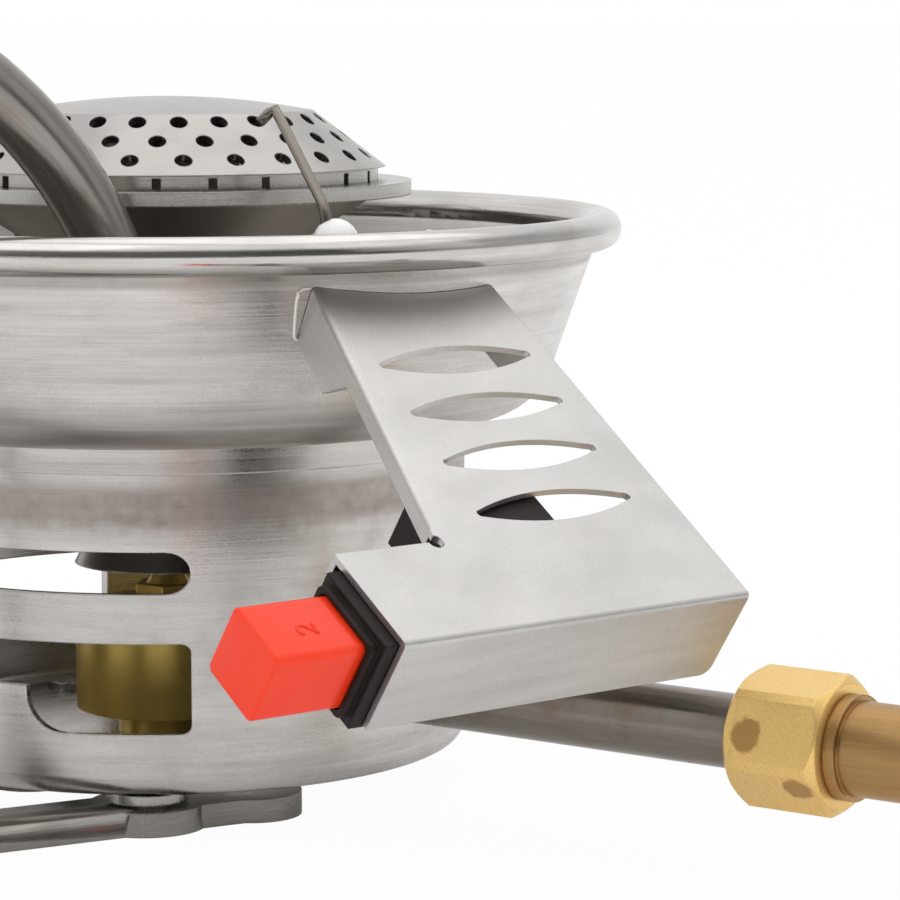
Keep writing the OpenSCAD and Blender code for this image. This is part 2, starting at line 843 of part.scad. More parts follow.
// A point given in the bracket's own plane, in the object's frame
function from_bracket(p) =
    let (out = fold_x + p[1] * cos(bracket_slope) + p[2] * sin(bracket_slope),
        z = fold_z - p[1] * sin(bracket_slope) + p[2] * cos(bracket_slope))
    [out * cos(bracket_angle) + p[0] * sin(bracket_angle),
        out * sin(bracket_angle) - p[0] * cos(bracket_angle), z];

// The lead's route: along the arm's flange, through the bowl's wall and down to the ceramic's foot
arm_route = [
    [20, rear_y - push_fit, -2.4], [20, -24, -2.4], [18.2, -31, -2.4], [16.2, -38, -2.4], [13.8, -44, -2.4],
    [lead_in[0], -47.5, lead_in[2]], lead_in, [lead_in[0], -54, lead_in[2]]
];
bowl_route = [[rim_r - 10.4, -21.6, 58.4], [rim_r - 11.4, -20, 53],
    [rim_r - 12.6, -17.8, 48.4], [rim_r - 13.6, -16.2, 46.9]];
lead_points = concat([for (p = arm_route) from_bracket(p)], bowl_route,
    [[ceramic_xy[0], ceramic_xy[1], ceramic_foot_z - 1.6], [ceramic_xy[0], ceramic_xy[1], ceramic_foot_z]]);

// A tube of even radius swept along a list of points
module swept_tube(points, r, sides) {
    n = len(points);
    function way(i) = let (v = points[min(i + 1, n - 1)] - points[max(i - 1, 0)]) v / norm(v);
    function across(i) = let (v = cross(way(i), [0.3, 1, 0.2])) v / norm(v);
    ring = [for (i = [0:n - 1], k = [0:sides - 1])
        let (a = 360 * k / sides, u = across(i), w = cross(way(i), u))
        points[i] + r * (cos(a) * u + sin(a) * w)];
    sides_faces = [for (i = [0:n - 2], k = [0:sides - 1], half = [0, 1])
        let (a = i * sides + k, b = i * sides + (k + 1) % sides)
        half == 0 ? [a, a + sides, b] : [b, a + sides, b + sides]];
    caps = [[for (k = [0:sides - 1]) k], [for (k = [sides - 1:-1:0]) (n - 1) * sides + k]];
    polyhedron(points = ring, faces = concat(sides_faces, caps), convexity = 4);
}

module ignition_lead() {
    color([0.15, 0.15, 0.15])
        swept_tube(lead_points, lead_r, 8);
}

// The electrode: one wire, bent over at its tip
module electrode_rod() {
    function at(z) = [electrode_xy[0], electrode_xy[1], ceramic_z + z];
    lean = at(1) + 0.06 * (electrode_tip - at(1));
    shoulder = electrode_tip + 0.08 * (at(1) - electrode_tip);
    nose = electrode_tip + 0.4 * (electrode_hook - electrode_tip) + [0, 0, 0.2];
    color("gray")
        swept_tube([at(0.5 - electrode_hole_l), at(-0.6), at(0.3), lean, shoulder, electrode_tip, nose,
            electrode_hook], electrode_r, 10);
}

// Legs

// A bent bar in the upright plane of its leg: flattened eye, foot, upright, pot rest and pivot stem
module leg(i) {
    upright_top = apex_z - leg_top_bend_r;
    sweep_end = leg_sweep_r;
    translate(pivot(i))
        rotate([0, 0, leg_angles[i]])
            difference() {
                union() {
                    linear_extrude(eye_t) {
                        circle(eye_r + 1);
                        translate([-tail_l, 0])
                            circle(eye_r);
                        translate([-tail_l, -eye_r + 1])
                            square([tail_l + neck_l + bar_r, 2 * eye_r - 2]);
                    }
                    translate([neck_l, 0, foot_z])
                        sphere(bar_r, $fn = bore_fn);
                    translate([neck_l, 0, foot_z])
                        rotate([0, 90, 0])
                            cylinder(r = bar_r, h = leg_reach - leg_foot_bend_r - neck_l, $fn = bore_fn);
                    translate([leg_reach - leg_foot_bend_r, 0, foot_z + leg_foot_bend_r])
                        rotate([90, 0, 0])
                            rotate([0, 0, -90])
                                rotate_extrude(angle = 90, $fn = 96)
                                    translate([leg_foot_bend_r, 0])
                                        circle(bar_r, $fn = bore_fn);
                    translate([leg_reach, 0, foot_z + leg_foot_bend_r])
                        cylinder(r = bar_r, h = upright_top - foot_z - leg_foot_bend_r, $fn = bore_fn);
                    translate([leg_reach - leg_top_bend_r, 0, upright_top])
                        rotate([90, 0, 0])
                            rotate_extrude(angle = 90, $fn = 96)
                                translate([leg_top_bend_r, 0])
                                    circle(bar_r, $fn = bore_fn);
                    translate([sweep_end, 0, apex_z])
                        rotate([0, 90, 0])
                            cylinder(r = bar_r, h = leg_reach - leg_top_bend_r - sweep_end, $fn = bore_fn);
                    translate([leg_sweep_r, 0, stem_top_z])
                        rotate([90, 0, 0])
                            rotate([0, 0, 90])
                                rotate_extrude(angle = 90, $fn = 128)
                                    translate([leg_sweep_r, 0])
                                        circle(bar_r, $fn = bore_fn);
                    translate([0, 0, stem_foot_z])
                        cylinder(r = bar_r, h = stem_top_z - stem_foot_z, $fn = bore_fn);
                }
                translate([0, 0, -1])
                    cylinder(r = pin_r + turn_fit, h = eye_t + 2, $fn = bore_fn);
                translate([0, 0, -1])
                    cylinder(r = pin_head_r + turn_fit, h = counterbore_h + 1, $fn = bore_fn);
            }
}

module front_leg() {
    color("dimgray")
        leg(0);
}

module middle_leg() {
    color("dimgray")
        leg(1);
}

module back_leg() {
    color("dimgray")
        leg(2);
}

// Rivets through the leg eyes, the washers and the cup's floor
module leg_pins() {
    top = cup_floor_top;
    color("silver")
        for (i = [0:2])
            translate(pivot(i)) {
                translate([0, 0, pin_foot_z])
                    cylinder(r = pin_head_r, h = pin_head_h, $fn = bore_fn);
                translate([0, 0, pin_foot_z])
                    cylinder(r = pin_r, h = top - pin_foot_z + eps, $fn = bore_fn);
                translate([0, 0, top])
                    cylinder(r = pin_top_r, h = pin_head_h, $fn = bore_fn);
            }
}

module leg_washers() {
    color("silver")
        for (i = [0:2])
            translate(pivot(i) + [0, 0, eye_t + washer_t / 4])
                difference() {
                    cylinder(r = washer_r, h = washer_t * 3 / 4, $fn = bore_fn);
                    translate([0, 0, -1])
                        cylinder(r = pin_r + push_fit, h = washer_t + 2, $fn = bore_fn);
                }
}

// Flanged bushes in the bowl's floor for the stems of the legs
module leg_bushes() {
    color("darkgray")
        for (i = [0:2])
            translate(pivot(i))
                difference() {
                    union() {
                        translate([0, 0, bush_foot_z])
                            cylinder(r = bush_r, h = bush_top_z - bush_foot_z, $fn = bore_fn);
                        translate([0, 0, bowl_floor_top])
                            cylinder(r = bush_flange_r, h = bush_top_z - bowl_floor_top, $fn = bore_fn);
                    }
                    translate([0, 0, bush_foot_z - 1])
                        cylinder(r = bar_r + turn_fit, h = bush_top_z - bush_foot_z + 2, $fn = bore_fn);
                }
}

bowl();
lower_cup();
burner_pan();
burner_head();
mixing_tube();
tube_screws();
jet_block();
jet();
gas_pipe();
pipe_ferrule();
union_nut();
hose_connector();
igniter_bracket();
piezo_body();
piezo_button();
electrode_ceramic();
electrode_rod();
ignition_lead();
front_leg();
middle_leg();
back_leg();
leg_pins();
leg_washers();
leg_bushes();
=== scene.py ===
"""Looks of a small camping gas stove: its finishes, eased sheet edges, fine pieces, studio and camera."""
import logging
import math
from dataclasses import dataclass, field
from enum import Enum
from typing import Any, Callable

import bmesh
import bpy
import numpy as np
from mathutils.bvhtree import BVHTree
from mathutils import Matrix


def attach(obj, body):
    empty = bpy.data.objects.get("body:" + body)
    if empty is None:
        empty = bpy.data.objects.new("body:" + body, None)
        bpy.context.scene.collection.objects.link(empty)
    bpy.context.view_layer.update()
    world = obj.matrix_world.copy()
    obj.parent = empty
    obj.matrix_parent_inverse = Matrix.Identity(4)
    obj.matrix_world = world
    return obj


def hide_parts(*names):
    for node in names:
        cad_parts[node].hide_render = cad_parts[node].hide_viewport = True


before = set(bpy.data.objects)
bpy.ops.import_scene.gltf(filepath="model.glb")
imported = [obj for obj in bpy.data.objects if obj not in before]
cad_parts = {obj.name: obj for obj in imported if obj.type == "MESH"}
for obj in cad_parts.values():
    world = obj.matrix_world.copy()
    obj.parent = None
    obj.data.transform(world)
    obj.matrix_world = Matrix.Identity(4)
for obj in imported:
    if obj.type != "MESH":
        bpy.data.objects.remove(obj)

log = logging.getLogger("stove")
MM = 0.001
BAR_PLACE = "bar_place"
Triple = tuple[float, float, float]
Pair = tuple[float, float]

# Places on the stove, in millimetres: heights, or places along the gas pipe for the nut's ends.
PIPE_HEIGHT = 14.0
CUTTER_CENTRE = (76.0, -6.0, 3.0)
NUT_INNER_END = (82.1, 82.4)
NUT_OUTER_END = (90.6, 90.9)
NUT_STAINS = ((83.9, -6.2, 15.3, 1.9), (89.6, -5.6, 10.4, 1.7),
              (91.3, -5.8, 14.6, 0.5), (91.2, -6.2, 13.4, 0.45))
# Heights of painted shade: below the pan's lip, inside the bowl, under its bead, low on its outer wall, and
# round the cup's neck.
PAN_LIP = (67.9, 68.6)
BOWL_INSIDE_TOP = (61.0, 65.5)
BOWL_LOW = (45.0, 50.0)
BEAD_FOOT = ((60.8, 61.6), (62.8, 64.0))
NECK_BAND = ((32.6, 35.2), (37.6, 39.6))
BOWL_WALL_HEIGHT, BOWL_WALL_OUT, BOWL_WALL_LEAN = 63.5, 50.0, 0.35
WALL_SIDES = (-0.15, 0.25)

# Scales and strengths of the marks that all worked metals share.
SPECK_SIZE = 0.32
RAGGED_SIZE = 1.6
LIP_RAGGED, BOWL_RAGGED, NECK_RAGGED, STAIN_RAGGED = 0.4, 2.5, 1.2, 0.9
SPIN_LENGTH, SPIN_LEAN = 60, 0.7
BAND_ROUND, BAND_UP, BAND_LEAN = 45.0, 420.0, 0.4
STAIN_LEVELS = (0.48, 0.78)
HAIR_TURN, HAIR_STRETCH, HAIR_LEVELS = (25.0, 40.0, 62.0), (150.0, 5200.0, 5200.0), (0.66, 0.72)
CONTRAST, BRIGHTEST = 2.4, 1.4
ROUGH_CENTRE = 0.06
NO_POLISH = 1000.0
POLISH_EDGE, POLISH_DEPTH = 0.6, 0.14
EDGE_SAMPLES = 6

# Wear of moulded pieces: the size of its clouds and how far light spreads below a surface, in millimetres.
WEAR_SIZE, WEAR_LEVELS, WEAR_SHARE = 4.0, (0.45, 0.8), 0.5
LIGHT_SPREAD = (1.2, 0.4, 0.2)
COAT_ROUGHNESS = 0.2

# Angles of edges that stay sharp, in degrees, and a direction that no path follows.
SHEET_SHARP, WIRE_SHARP = 32.0, 60.0
OFF_AXIS = (0.31, 0.17, 0.93)


class Value:
    """One socket of a shader graph. Python's operators on it add Math nodes."""

    def __init__(self, graph: "Graph", socket: bpy.types.NodeSocket) -> None:
        """Keeps the graph that the socket belongs to."""
        self.graph = graph
        self.socket = socket

    def math(self, operation: str, *others: Any, first: bool = True) -> "Value":
        """Adds one Math node.

        Args:
            operation: Blender's name of the operation.
            others: the other operands, numbers or values.
            first: whether this value is the first operand.

        Returns:
            The node's result.
        """
        operands = [self, *others] if first else [*others, self]
        return self.graph.node("ShaderNodeMath", {"operation": operation}, dict(enumerate(operands)))

    def __add__(self, other: Any) -> "Value":
        """The sum."""
        return self.math("ADD", other)

    __radd__ = __add__

    def __sub__(self, other: Any) -> "Value":
        """The difference."""
        return self.math("SUBTRACT", other)

    def __rsub__(self, other: Any) -> "Value":
        """The difference from a number."""
        return self.math("SUBTRACT", other, first=False)

    def __mul__(self, other: Any) -> "Value":
        """The product."""
        return self.math("MULTIPLY", other)

    __rmul__ = __mul__

    def __truediv__(self, other: Any) -> "Value":
        """The quotient."""
        return self.math("DIVIDE", other)

    def step(self, low: float, high: float) -> "Value":
        """A smooth step from nought at low to one at high.

        Args:
            low: where the step starts.
            high: where it ends.

        Returns:
            The step's value.
        """
        sockets = {"Value": self, "From Min": low, "From Max": high}
        return self.graph.node("ShaderNodeMapRange", {"interpolation_type": "SMOOTHSTEP"}, sockets)

    def rise(self, marks: Pair) -> "Value":
        """A smooth step between two places in millimetres."""
        return self.step(marks[0] * MM, marks[1] * MM)

    def within(self, marks: tuple[Pair, Pair]) -> "Value":
        """One between two smooth steps, up and down, in millimetres."""
        return self.rise(marks[0]) * (1 - self.rise(marks[1]))


class Graph:
    """A node tree of a material or of the world."""

    def __init__(self, tree: bpy.types.NodeTree) -> None:
        """Empties the tree."""
        self.tree = tree
        tree.nodes.clear()

    def node(self, kind: str, settings: dict | None = None, sockets: dict | None = None,
             out: Any = 0) -> Value:
        """Adds a node.

        Args:
            kind: the node's type.
            settings: its properties, set first.
            sockets: numbers, colours or values for its inputs, by name or place.
            out: the name or place of the output wanted.

        Returns:
            That output.
        """
        made = self.tree.nodes.new(kind)
        for key, setting in (settings or {}).items():
            setattr(made, key, setting)
        for key, given in (sockets or {}).items():
            if isinstance(given, Value):
                self.tree.links.new(given.socket, made.inputs[key])
            else:
                made.inputs[key].default_value = given
        return Value(self, made.outputs[out] if made.outputs else None)

    def blend(self, factor: Any, first: Any, second: Any) -> Value:
        """Mixes two colours.

        Args:
            factor: how much of the second colour there is.
            first: a colour or a value.
            second: a colour or a value.

        Returns:
            The mixed colour.
        """
        full = [c if isinstance(c, Value) else (*c, 1.0) for c in (first, second)]
        return self.node("ShaderNodeMix", {"data_type": "RGBA"}, {0: factor, 6: full[0], 7: full[1]}, out=2)

    def vector(self, x: Any, y: Any, z: Any) -> Value:
        """Joins three values into a vector."""
        return self.node("ShaderNodeCombineXYZ", None, {0: x, 1: y, 2: z})

    def parts(self, vector: Value) -> tuple[Value, Value, Value]:
        """Splits a vector into its three values."""
        split = self.node("ShaderNodeSeparateXYZ", None, {0: vector}).socket.node
        return tuple(Value(self, s) for s in split.outputs)

    def noise(self, vector: Value, scale: float, detail: float = 3.0, roughness: float = 0.55) -> Value:
        """Fractal noise from nought to one.

        Args:
            vector: where it is read.
            scale: its frequency.
            detail: its number of octaves.
            roughness: the weight of the finer octaves.

        Returns:
            The noise.
        """
        sockets = {"Vector": vector, "Scale": scale, "Detail": detail, "Roughness": roughness}
        return self.node("ShaderNodeTexNoise", None, sockets)

    def distance(self, point: Value, centre: Triple) -> Value:
        """How far a point is from a centre.

        Args:
            point: the point, in metres.
            centre: the centre, in millimetres.

        Returns:
            The distance, in metres.
        """
        place = tuple(c * MM for c in centre)
        return self.node("ShaderNodeVectorMath", {"operation": "DISTANCE"}, {0: point, 1: place}, "Value")

    def radius(self, x: Value, y: Value) -> Value:
        """How far a point is from an axis, from its two places across it."""
        return (x * x + y * y).math("SQRT")

    def eased(self, edge_mm: float) -> Value:
        """The surface's direction, eased over sharp edges."""
        return self.node("ShaderNodeBevel", {"samples": EDGE_SAMPLES}, {"Radius": edge_mm * MM})

    def turned(self, vector: Value, angles: Triple, stretch: Triple) -> Value:
        """Turns a point into a rotated frame, then stretches it.

        Args:
            vector: the point.
            angles: the frame's rotation, in degrees.
            stretch: the factor along each of the frame's axes.

        Returns:
            The point in that frame.
        """
        undo = self.node("ShaderNodeVectorRotate", {"rotation_type": "EULER_XYZ", "invert": True},
                         {"Vector": vector, "Rotation": tuple(math.radians(a) for a in angles)})
        return self.node("ShaderNodeVectorMath", {"operation": "MULTIPLY"}, {0: undo, 1: stretch})


class Grain(Enum):
    """Which way the brushing or drawing of a metal runs."""

    ROUND = "round the burner's axis"
    TOOL_ARCS = "in a cutter's arcs on the flats, round the pipe on the ends"
    ALONG_PIPE = "along the gas pipe"
    ALONG_BAR = "along the leg's bar"
    NONE = "no direction"


class StainAndShade(Enum):
    """Where a metal is darkened: real stains on the union nut, and painted shade below the pan's lip, on and
    below the bowl, and round the cup's neck.
    """

    NONE = "nowhere"
    # Painted shade: the pan below its lip, where the lip's shadow falls.
    SHADE_UNDER_LIP = "below the burner pan's lip"
    # Painted shade: the bowl's inner side, the crease under its bead, and its outer wall low down.
    SHADE_ON_BOWL = "on the bowl's inner side"
    # Painted shade: a brownish band round the cup's neck, under the bowl's overhang.
    SHADE_ROUND_NECK = "in a band round the cup's neck"
    NUT_STAINS = "in a few drops on the union nut"


@dataclass(frozen=True)
class MetalFinish:
    """A worked metal: its colour, the lines left by tools, its age, and painted shade in some places."""

    name: str
    colour: Triple
    tint: Triple
    roughness: float
    grain: Grain
    streak: float = 0.12
    lines_per_mm: float = 4.0
    draw: float = 30.0
    relief: float = 0.004
    tarnish: float = 0.25
    cloud_mm: float = 9.0
    speckle: float = 0.08
    edge_mm: float = 0.25
    scratches: float = 0.12
    bands: float = 0.0
    polish_above: float = NO_POLISH
    metal: float = 1.0
    # The darkening: painted shade on the pan, bowl and cup, real stains on the nut; its colour and strength
    # follow.
    stain_and_shade: StainAndShade = StainAndShade.NONE
    stain_and_shade_colour: Triple = (0.1, 0.085, 0.07)
    stain_and_shade_strength: float = 0.85

    def grain_point(self, graph: Graph, point: Value) -> Value:
        """The point, drawn out along the grain.

        Args:
            graph: the material's graph.
            point: a place on the piece, in metres.

        Returns:
            The stretched place, in line widths.
        """
        fine = self.lines_per_mm / MM
        coarse = fine / self.draw
        if self.grain is Grain.ROUND:
            x, y, z = graph.parts(point)
            out = graph.radius(x, y)
            return graph.vector(x / out * SPIN_LENGTH / self.draw, y / out * SPIN_LENGTH / self.draw,
                                (z + out * SPIN_LEAN) * fine)
        if self.grain is Grain.TOOL_ARCS:
            x, y, z = graph.parts(point)
            out = graph.radius(y, z - PIPE_HEIGHT * MM)
            arc = graph.distance(point, CUTTER_CENTRE)
            ends = x.rise(NUT_OUTER_END) + (1 - x.rise(NUT_INNER_END))
            return graph.vector((arc + (out - arc) * ends) * fine, x * coarse, z * coarse)
        if self.grain is Grain.ALONG_BAR:
            along = graph.node("ShaderNodeAttribute", {"attribute_name": BAR_PLACE}, out="Vector")
            return graph.turned(along, (0.0, 0.0, 0.0), (coarse, fine, fine))
        stretch = {
            Grain.ALONG_PIPE: (coarse, fine, fine),
            Grain.NONE: (fine, fine, fine),
        }[self.grain]
        return graph.turned(point, (0.0, 0.0, 0.0), stretch)

    def stain_and_shade_mask(self, graph: Graph, point: Value) -> Value:
        """Where the metal is darkened, from nought to one: painted shade on the pan, bowl and cup, real
        stains on the nut.

        Args:
            graph: the material's graph.
            point: a place on the piece, in metres.

        Returns:
            The mask.
        """
        x, y, z = graph.parts(point)
        ragged = graph.noise(point, 1 / (RAGGED_SIZE * MM), 4.0) - 0.5
        if self.stain_and_shade is StainAndShade.SHADE_UNDER_LIP:
            # Painted shade below the pan's lip, where the lip's shadow falls.
            return 1 - (z + ragged * LIP_RAGGED * MM).rise(PAN_LIP)
        if self.stain_and_shade is StainAndShade.SHADE_ON_BOWL:
            # Painted shade: darker on the bowl's inner side, in the crease under the rolled bead, and low on
            # the outer wall where the floor's shade falls.
            middle = (z - BOWL_WALL_HEIGHT * MM) * BOWL_WALL_LEAN + BOWL_WALL_OUT * MM
            inner = (middle - graph.radius(x, y)).rise(WALL_SIDES)
            inside = inner * (1 - z.rise(BOWL_INSIDE_TOP)) * 0.8
            under_bead = z.within(BEAD_FOOT) * 0.85
            low = (1 - (z + ragged * BOWL_RAGGED * MM).rise(BOWL_LOW)) * 0.8
            return inside.math("MAXIMUM", (under_bead + low) * (1 - inner)) * (ragged * 0.6 + 1.0)
        if self.stain_and_shade is StainAndShade.SHADE_ROUND_NECK:
            # Painted shade: a brownish band round the cup's neck, under the bowl's overhang.
            return (z + ragged * NECK_RAGGED * MM).within(NECK_BAND) * (ragged * 0.8 + 0.8)
        mask = None
        for cx, cy, cz, radius in NUT_STAINS:
            away = graph.distance(point, (cx, cy, cz))
            drop = 1 - (away + ragged * radius * STAIN_RAGGED * MM).rise((radius - 0.35, radius + 0.2))
            mask = drop if mask is None else mask.math("MAXIMUM", drop)
        return mask

    def material(self) -> bpy.types.Material:
        """Builds the material: streaks, specks, clouds of tarnish, scratches, painted shade, stains and eased
        edges.

        Returns:
            The material.
        """
        made = bpy.data.materials.new(self.name)
        made.use_nodes = True
        graph = Graph(made.node_tree)
        point = graph.node("ShaderNodeTexCoord", out="Object")
        streak = graph.noise(self.grain_point(graph, point), 1.0, 4.0, 0.6) - 0.5
        speck = graph.noise(point, 1 / (SPECK_SIZE * MM), 3.0, 0.7) - 0.5
        cloud = graph.noise(point, 1 / (self.cloud_mm * MM), 4.0, 0.6)
        stain = cloud.step(*STAIN_LEVELS) * self.tarnish
        hair = graph.noise(graph.turned(point, HAIR_TURN, HAIR_STRETCH), 1.0, 2.0)
        scratch = hair.step(*HAIR_LEVELS) * self.scratches
        x, y, z = graph.parts(point)
        lean = (z + graph.radius(x, y) * BAND_LEAN) * BAND_UP
        band = graph.noise(graph.vector(x * BAND_ROUND, y * BAND_ROUND, lean), 1.0, 3.0, 0.6) - 0.5
        light = (streak * self.streak + speck * self.speckle + band * self.bands) * CONTRAST + 0.5
        brightest = min(BRIGHTEST, 1 / max(self.colour))
        base = graph.blend(light, tuple(c * (2 - brightest) for c in self.colour),
                           tuple(c * brightest for c in self.colour))
        base = graph.blend(stain, base, self.tint)
        rough = streak * 0.16 + speck * 0.1 + cloud * 0.12 + scratch * 0.1 + (self.roughness - ROUGH_CENTRE)
        if self.polish_above < NO_POLISH:
            rough = rough - z.rise((self.polish_above - POLISH_EDGE, self.polish_above)) * POLISH_DEPTH
        # Painted shade, and on the nut real stains, darken the colour here.
        if self.stain_and_shade is not StainAndShade.NONE:
            mask = self.stain_and_shade_mask(graph, point)
            base = graph.blend(mask * self.stain_and_shade_strength, base, self.stain_and_shade_colour)
            rough = rough + mask * 0.12
        height = streak + speck * 0.4 + scratch * 0.25
        normal = graph.node("ShaderNodeBump", None, {
            "Strength": 0.35, "Distance": self.relief * MM * 10, "Height": height,
            "Normal": graph.eased(self.edge_mm)})
        shader = graph.node("ShaderNodeBsdfPrincipled", None, {
            "Base Color": base, "Metallic": self.metal, "Roughness": rough, "Normal": normal})
        graph.node("ShaderNodeOutputMaterial", None, {"Surface": shader})
        return made


@dataclass(frozen=True)
class MouldedFinish:
    """A moulded plastic, rubber or glazed ceramic."""

    name: str
    colour: Triple
    worn: Triple
    roughness: float
    grain_mm: float = 0.25
    relief: float = 0.01
    coat: float = 0.0
    edge_mm: float = 0.3
    subsurface: float = 0.0
    shine: float = 0.5

    def material(self) -> bpy.types.Material:
        """Builds the material: a fine eroded grain with clouds of wear.

        Returns:
            The material.
        """
        made = bpy.data.materials.new(self.name)
        made.use_nodes = True
        graph = Graph(made.node_tree)
        point = graph.node("ShaderNodeTexCoord", out="Object")
        grain = graph.noise(point, 1 / (self.grain_mm * MM), 2.0)
        cloud = graph.noise(point, 1 / (WEAR_SIZE * MM), 4.0)
        base = graph.blend(cloud.step(*WEAR_LEVELS) * WEAR_SHARE, self.colour, self.worn)
        normal = graph.node("ShaderNodeBump", None, {
            "Strength": 0.3, "Distance": self.relief * MM, "Height": grain,
            "Normal": graph.eased(self.edge_mm)})
        shader = graph.node("ShaderNodeBsdfPrincipled", None, {
            "Base Color": base, "Roughness": cloud * 0.12 + (self.roughness - ROUGH_CENTRE), "Normal": normal,
            "Coat Weight": self.coat, "Coat Roughness": COAT_ROUGHNESS, "Specular IOR Level": self.shine,
            "Subsurface Weight": self.subsurface, "Subsurface Scale": 1.0,
            "Subsurface Radius": tuple(spread * MM for spread in LIGHT_SPREAD)})
        graph.node("ShaderNodeOutputMaterial", None, {"Surface": shader})
        return made


# The spun steel's darker inner side, bead crease and low outer wall are painted shade.
SPUN_STEEL = MetalFinish("spun_steel", (0.65, 0.63, 0.605), (0.42, 0.385, 0.34), 0.26, Grain.ROUND,
                         streak=0.24, bands=0.42, polish_above=62.0, stain_and_shade=StainAndShade.SHADE_ON_BOWL,
                         stain_and_shade_colour=(0.3, 0.27, 0.24), stain_and_shade_strength=0.6)
# The cup's brownish band round its neck is painted shade under the bowl's overhang.
CUP_STEEL = MetalFinish("cup_steel", (0.65, 0.63, 0.605), (0.4, 0.345, 0.31), 0.29, Grain.ROUND,
                        streak=0.2, bands=0.35, tarnish=0.4, stain_and_shade=StainAndShade.SHADE_ROUND_NECK,
                        stain_and_shade_colour=(0.3, 0.235, 0.205), stain_and_shade_strength=0.7)
BURNER_STEEL = MetalFinish("burner_steel", (0.47, 0.455, 0.435), (0.34, 0.31, 0.27), 0.25, Grain.ROUND,
                           tarnish=0.3, bands=0.15)
# The pan's dark band below its lip is painted shade.
PAN_STEEL = MetalFinish("pan_steel", (0.55, 0.535, 0.51), (0.36, 0.32, 0.28), 0.27, Grain.ROUND, tarnish=0.3,
                        stain_and_shade=StainAndShade.SHADE_UNDER_LIP, stain_and_shade_colour=(0.29, 0.26, 0.225))
TUBE_STEEL = MetalFinish("tube_steel", (0.5, 0.48, 0.45), (0.32, 0.27, 0.22), 0.34, Grain.ROUND, tarnish=0.4)
SHEET_STEEL = MetalFinish("sheet_steel", (0.64, 0.625, 0.605), (0.52, 0.5, 0.47), 0.41, Grain.NONE,
                          edge_mm=0.1, relief=0.0015, speckle=0.12, bands=0.2)
BAR_STEEL = MetalFinish("bar_steel", (0.33, 0.31, 0.285), (0.22, 0.18, 0.14), 0.2, Grain.ALONG_BAR,
                        streak=0.4, tarnish=0.5, cloud_mm=7.0, metal=0.85)
PIPE_STEEL = MetalFinish("pipe_steel", (0.27, 0.24, 0.21), (0.22, 0.15, 0.095), 0.24, Grain.ALONG_PIPE,
                         streak=0.35, tarnish=0.6, cloud_mm=5.0)
FASTENER_STEEL = MetalFinish("fastener_steel", (0.55, 0.54, 0.52), (0.4, 0.37, 0.33), 0.27, Grain.NONE)
# A pale steel, partly diffuse, for the slot's punched lip: its brightness is a painted highlight.
SLOT_LIP_HIGHLIGHT_STEEL = MetalFinish("slot_lip_highlight_steel", (0.86, 0.85, 0.83), (0.7, 0.68, 0.65), 0.24, Grain.NONE, metal=0.7,
                        tarnish=0.1)
WIRE_STEEL = MetalFinish("wire_steel", (0.28, 0.255, 0.22), (0.2, 0.165, 0.13), 0.32, Grain.NONE, tarnish=0.5)
NUT_BRASS = MetalFinish("nut_brass", (0.95, 0.64, 0.225), (0.8, 0.46, 0.12), 0.29, Grain.TOOL_ARCS,
                        streak=0.22, lines_per_mm=5.0, draw=400.0, relief=0.006, tarnish=0.35, cloud_mm=4.0,
                        stain_and_shade=StainAndShade.NUT_STAINS, stain_and_shade_colour=(0.33, 0.145, 0.03), stain_and_shade_strength=0.7, edge_mm=0.2,
                        metal=0.58)
BLOCK_BRASS = MetalFinish("block_brass", (0.8, 0.58, 0.15), (0.5, 0.34, 0.1), 0.32, Grain.ROUND, tarnish=0.4,
                          metal=0.7)
STEM_BRASS = MetalFinish("stem_brass", (0.48, 0.29, 0.12), (0.32, 0.175, 0.07), 0.36, Grain.ALONG_PIPE,
                         tarnish=0.6, streak=0.25, speckle=0.16)
RED_PLASTIC = MouldedFinish("red_plastic", (0.96, 0.042, 0.008), (0.95, 0.062, 0.014), 0.3, edge_mm=0.12,
                            coat=0.08, subsurface=0.05, shine=0.36)
BLACK_PLASTIC = MouldedFinish("black_plastic", (0.016, 0.011, 0.009), (0.036, 0.026, 0.021), 0.5, shine=0.22)
CERAMIC = MouldedFinish("ceramic", (0.95, 0.945, 0.93), (0.88, 0.86, 0.82), 0.22, coat=0.4)
RUBBER = MouldedFinish("rubber", (0.03, 0.03, 0.03), (0.05, 0.048, 0.045), 0.55)

Finish = MetalFinish | MouldedFinish


class Wardrobe:
    """Makes each finish's material once and dresses objects in it."""

    def __init__(self) -> None:
        """Starts with no materials."""
        self.made: dict[str, bpy.types.Material] = {}

    def dress(self, piece: bpy.types.Object, finish: Finish) -> None:
        """Gives a piece its finish.

        Args:
            piece: the object.
            finish: its finish.
        """
        if finish.name not in self.made:
            self.made[finish.name] = finish.material()
        piece.data.materials.clear()
        piece.data.materials.append(self.made[finish.name])


def dress_nodes(wardrobe: Wardrobe, finishes: dict[str, Finish]) -> None:
    """Dresses nodes of the frame.

    Args:
        wardrobe: where the materials come from.
        finishes: each node's finish, by the node's name.
    """
    for name, finish in finishes.items():
        wardrobe.dress(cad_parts[name], finish)
        log.info("%s: %s", name, finish.name)


def linked(name: str, mesh: bpy.types.Mesh, body: str,
           sharp: float = SHEET_SHARP) -> bpy.types.Object:
    """Puts a mesh into the scene as a piece.

    Args:
        name: the piece's name.
        mesh: its mesh, shaded smooth between sharp edges here.
        body: the body that it rides on.
        sharp: the least angle of an edge that stays sharp, in degrees.

    Returns:
        The piece.
    """
    mesh.shade_smooth()
    mesh.set_sharp_from_angle(angle=math.radians(sharp))
    piece = bpy.data.objects.new(name, mesh)
    bpy.context.scene.collection.objects.link(piece)
    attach(piece, body)
    log.info("%s: %d faces", name, len(mesh.polygons))
    return piece


